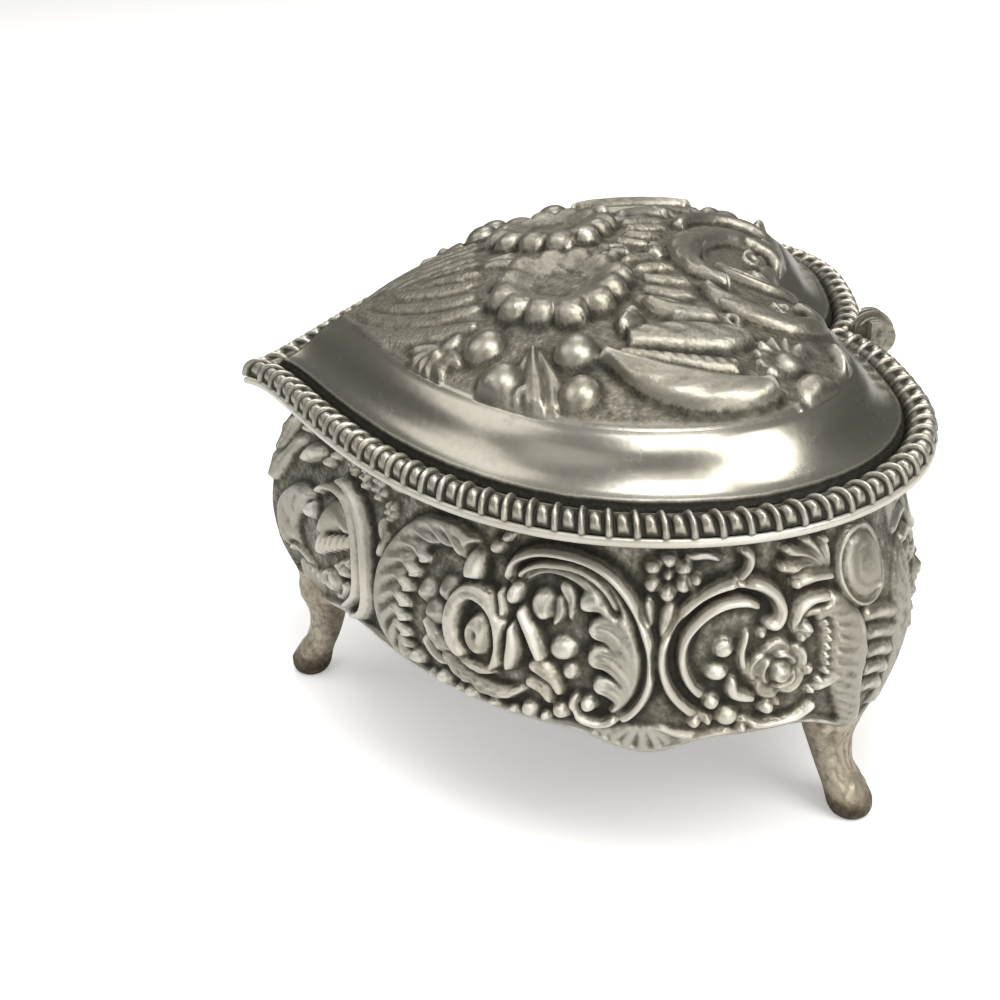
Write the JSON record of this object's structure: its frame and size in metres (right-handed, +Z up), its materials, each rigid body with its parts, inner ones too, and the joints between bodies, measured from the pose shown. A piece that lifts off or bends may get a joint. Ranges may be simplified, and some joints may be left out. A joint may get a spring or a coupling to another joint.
{
  "type": "rosary box",
  "caption": "Heart shaped footed keepsake box in cast white metal: domed hinged lid with flower and leaf relief, rope border, scroll work wall and cloth lining.",
  "frame": {"origin": "on the table plane under the middle of the whole outline", "axes": "+Z up; the tip of the heart and the front foot point to -Y; the cleft and the hinge are at +Y; +X across the heart"},
  "size_m": [0.1118, 0.0974, 0.0717],
  "materials": {
    "cast_metal": "satin silvered white metal, darkened in the recesses",
    "sheet_metal": "dull plated sheet",
    "pin_metal": "plain drawn wire",
    "lining_cloth": "short pile lining on card"
  },
  "bodies": {
    "case": {"wall": "cast_metal", "foot_tip": "cast_metal", "foot_left": "cast_metal", "foot_right": "cast_metal", "base_plate": "sheet_metal", "floor_pad": "lining_cloth", "wall_lining": "lining_cloth", "hinge_bracket": "cast_metal", "hinge_pin": "pin_metal"},
    "lid": {"lid": "cast_metal", "lid_lining": "lining_cloth", "hinge_shell": "cast_metal"}
  },
  "joints": [
    {"name": "lid_hinge", "type": "hinge", "parent": "case", "child": "lid", "pos_m": [0, 0.04589, 0.0496], "axis": [-1, 0, 0], "range_deg": [0, 100]}
  ]
}
